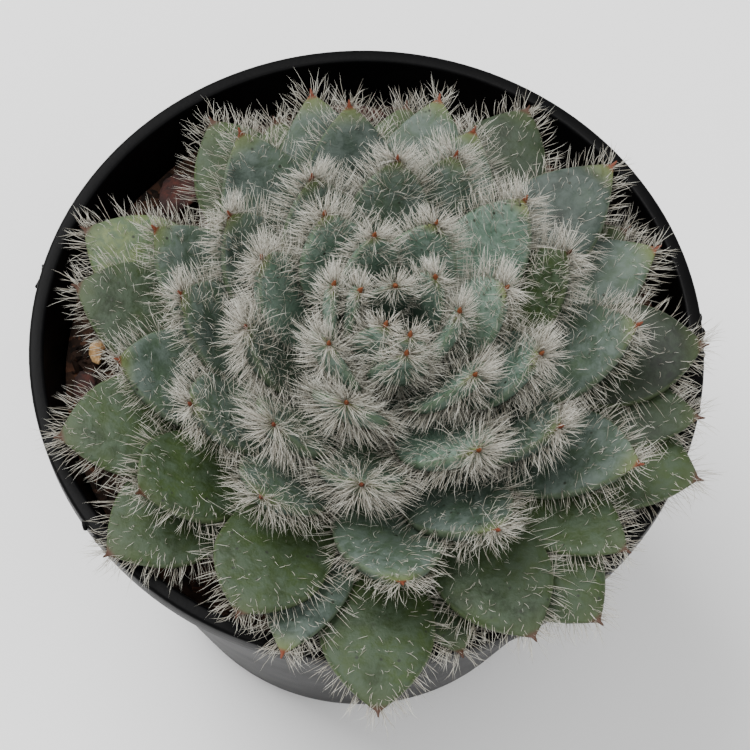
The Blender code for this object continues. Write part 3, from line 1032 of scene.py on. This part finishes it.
def add_hairs(name, place, roots, length, lie, curliness, slot, chance):
    """Hairs grown from a leaf. roots is (share along the leaf, angle round it), and lie is how
    far each leans off the face, to the side and towards the tip, at its root and at its end.
    Each is a closed tube of three sides that ends in a point."""
    s, t = roots
    count = len(s)
    step = 1e-3
    start = place(s, t)
    to_tip = unit(place(s + step, t) - start)
    round_it = unit(place(s, t + step) - start)
    off = unit(np.cross(round_it, to_tip))
    sideways = place(s, np.zeros(count)) - place(s, np.full(count, math.pi))
    aside = unit(sideways) * np.sign(np.cos(t))[:, None]
    aside = unit(aside - (aside * to_tip).sum(1, keepdims=True) * to_tip)
    loose = chance.normal(0, 0.15, (count, 3))
    curl = chance.normal(0, 1.0, (count, 3)) * curliness[:, None]
    (off0, side0, tip0), (off1, side1, tip1) = lie
    at_root = unit(
        off * off0[:, None] + aside * side0[:, None] + to_tip * tip0[:, None] + loose
    )
    at_end = unit(
        off * off1[:, None] + aside * side1[:, None] + to_tip * tip1[:, None] + loose + curl
    )
    start = start - 0.00015 * off
    long = length[:, None]

    def spot(r):
        return start + long * (at_root * (r - 0.5 * r * r) + at_end * (0.5 * r * r))

    rings = []
    for r in HAIR_ROWS:
        forward = unit(mix(at_root, at_end, r))
        u = unit(np.cross(forward, off + 0.3 * to_tip))
        v = np.cross(forward, u)
        radius = mix(HAIR_ROOT_RADIUS, HAIR_TIP_RADIUS, r)
        for k in range(3):
            turn = 2 * math.pi * k / 3
            rings.append(spot(r) + radius * (u * math.cos(turn) + v * math.sin(turn)))
    rings.append(spot(1.0))
    points = np.stack(rings, 1)
    faces = [(2, 1, 0)]
    for k in range(3):
        j = (k + 1) % 3
        for low in (0, 3):
            faces += [(low + k, low + j, low + 3 + j), (low + k, low + 3 + j, low + 3 + k)]
        faces.append((6 + k, 6 + j, 9))
    firsts = (np.arange(count) * 10)[:, None, None]
    hairs = add_piece(
        name,
        points.reshape(-1, 3),
        (np.array(faces)[None] + firsts).reshape(-1, 3),
        hair_wall,
        slot,
    )
    along = np.append(np.repeat(HAIR_ROWS, 3), 1.0)
    strand_tone = chance.uniform(0.0, HAIR_TONES, count)
    set_numbers(hairs.data, "along", np.tile(along, count))
    set_numbers(hairs.data, "strand", np.repeat(strand_tone, 10))
    across = np.array([-1, 0, 1, -1, 0, 1, -1, 0, 1, 0]) * MAP_WIDTH
    row = 0.02 + 0.96 * strand_tone[:, None] / HAIR_TONES + across
    flat = np.stack([np.tile(0.02 + 0.96 * along, count), row.ravel()], 1)
    corners = np.zeros(len(hairs.data.loops), np.int32)
    hairs.data.loops.foreach_get("vertex_index", corners)
    layer = hairs.data.uv_layers.new(name="OFBake")
    layer.uv.foreach_set("vector", np.clip(flat, 0.001, 0.999)[corners].astype(np.float32).ravel())
    return hairs


# The four kinds of hair, in this order: on the face turned to the axis, on the face turned out,
# along the margins, and in a fan round the point. Each pair is for an old leaf and a young one.
HAIRS_GROWN = ((0.40, 1.25), (0.30, 1.75), (3.2, 4.4), (16, 72))  # per mm2, mm2, mm and leaf
HAIR_REACH = ((0.36, 0.78), (0.85, 0.85), (0.74, 0.90), (0.55, 0.95))  # shares of HAIR_LENGTH
CURLINESS = ((0.85, 0.30), (0.50, 0.26), (0.30, 0.30), (0.26, 0.26))
OFF_AT_ROOT = ((0.35, 0.60), (0.50, 0.80), (0.25, 0.25), (0.90, 0.90))
OFF_AT_END = ((0.10, 0.10), (0.20, 0.60), (0.15, 0.15), (0.75, 0.75))
TO_TIP_AT_ROOT = ((0.45, 0.45), (0.40, 0.05), (0.35, 0.35), (0.30, 0.30))
TO_TIP_AT_END = ((0.60, 0.60), (0.50, -0.05), (0.45, 0.45), (0.15, 0.15))


def hair_roots(length, width, young, chance):
    """Where a leaf's hairs grow, how long each is, how it lies and how it curls."""
    area = 0.62 * length * width * 1e6
    margin_length = 2 * 0.75 * length * 1e3
    room = (area, area, margin_length, 1)
    inner, outer, fringe, fan = (
        int(space * mix(*grown, young)) for space, grown in zip(room, HAIRS_GROWN)
    )
    s = np.concatenate(
        [
            1 - 0.80 * chance.random(inner) ** 1.1,
            1 - 0.70 * chance.random(outer) ** 1.2,
            1 - 0.74 * chance.random(fringe) ** 1.05,
            1 - 0.17 * chance.random(fan),
        ]
    )
    s = np.minimum(s, 0.992)
    x = np.concatenate([chance.uniform(-0.94, 0.94, inner + outer), np.zeros(fringe + fan)])
    t = np.arccos(x)
    t[inner : inner + outer] *= -1
    half_turn = math.pi * chance.integers(0, 2, fringe)
    t[inner + outer : inner + outer + fringe] = half_turn + chance.normal(0, 0.5, fringe)
    t[inner + outer + fringe :] = chance.uniform(0, 2 * math.pi, fan)
    kinds = np.repeat([0, 1, 2, 3], [inner, outer, fringe, fan])

    def of_kind(pairs):
        return np.choose(kinds, [mix(*pair, young) for pair in pairs])

    side = np.abs(np.cos(t))
    side0 = np.choose(kinds, [0.25 + 0.7 * side, 0.15 + 0.9 * side, 1.0 + 0 * side, 0.9 * side])
    side1 = side0 * np.choose(kinds, [0.9, 1.0, 0.9, 1.0])
    long = HAIR_LENGTH * of_kind(HAIR_REACH)
    long = long * np.clip(1 + 0.2 * chance.normal(size=len(s)), 0.4, 1.35)
    at_root = (of_kind(OFF_AT_ROOT), side0, of_kind(TO_TIP_AT_ROOT))
    at_end = (of_kind(OFF_AT_END), side1, of_kind(TO_TIP_AT_END))
    return (s, t), long, (at_root, at_end), of_kind(CURLINESS)


def grow(name, base_height, bearing, reach_mm, lift_mm, squeeze, seed, finish, slot, *nodes):
    """A leaf and its coat of hairs. Wear and age show by how far out its tip has reached."""
    reach, lift = reach_mm / 1000, lift_mm / 1000
    grown = (min(reach, FULL_WIDTH_REACH) / FULL_WIDTH_REACH) ** 0.8
    width = squeeze * mix(YOUNG_LEAF_WIDTH, FULL_LEAF_WIDTH, grown)
    chance = np.random.default_rng(seed)
    age = float(ease((reach - 0.020) / 0.025)) * (1.0 if finish is outer_skin else 0.3)
    place, length = leaf_form(base_height, bearing, reach, lift, width, age, seed)
    tone = LEAF_TONES_AND_PAINTED_SHADE.get(name, chance.normal(0, 0.05))
    add_leaf(name, place, length, tone, finish, slot, *nodes)
    young = float(1 - ease((reach - 0.022) / 0.022))
    roots, long, lie, curliness = hair_roots(length, width, young, chance)
    long = long * mix(0.62, 1.0, float(ease(reach / 0.024)))
    add_hairs(name + "_hairs", place, roots, long, lie, curliness, slot, chance)


# Leaves that differ in tone: an old one gone pale, and others painted darker where they lie in
# shade, which is painted shade
LEAF_TONES_AND_PAINTED_SHADE = {
    "blade_44": 0.34,
    "blade_27": -0.42,
    "blade_30": -0.28,
    "blade_32": -0.20,
    "blade_37": -0.14,
    "blade_40": -0.20,
    "blade_50": -0.15,
    "blade_51": -0.30,
}
SKINS = {"heart_leaf": heart_skin, "middle_leaf": middle_skin, "outer_leaf": outer_skin}
# Outer leaves that have kept their bloom: those at the back, which nothing has rubbed
BLOOMED_LEAVES = (29, 30, 31, 32, 33, 34, 36, 41, 42, 43, 45)
for rank, (bearing, reach_mm, lift_mm) in enumerate(LEAVES):
    number = rank + 1
    down_the_stem = (rank / (len(LEAVES) - 1)) ** 0.9
    slot = "heart_leaf" if number <= 10 else "middle_leaf" if number <= 24 else "outer_leaf"
    finish = SKINS["middle_leaf" if number in BLOOMED_LEAVES else slot]
    grow(
        f"blade_{number:02d}",
        mix(HIGHEST_LEAF_BASE, LOWEST_LEAF_BASE, down_the_stem),
        bearing,
        reach_mm,
        lift_mm,
        SQUEEZED_LEAVES.get(number, 1.0),
        number,
        finish,
        slot,
        f"leaf_{number:02d}",
    )
for k, (bearing, reach_mm, lift_mm) in enumerate(HEART_LEAVES):
    base_height = mix(STEM_TOP + 0.003, HIGHEST_LEAF_BASE, k / 8)
    grow(
        f"heart_blade_{k + 1}", base_height, bearing, reach_mm, lift_mm, 0.85, 101 + k,
        heart_skin, "heart_leaf", "stem_with_bud",
    )
for k, (bearing, reach_mm, lift_mm) in enumerate(UNDER_LEAVES):
    grow(
        f"under_blade_{k + 1}", LOWEST_LEAF_BASE - 0.0008, bearing, reach_mm, lift_mm, 0.9,
        201 + k, outer_skin, "outer_leaf",
    )
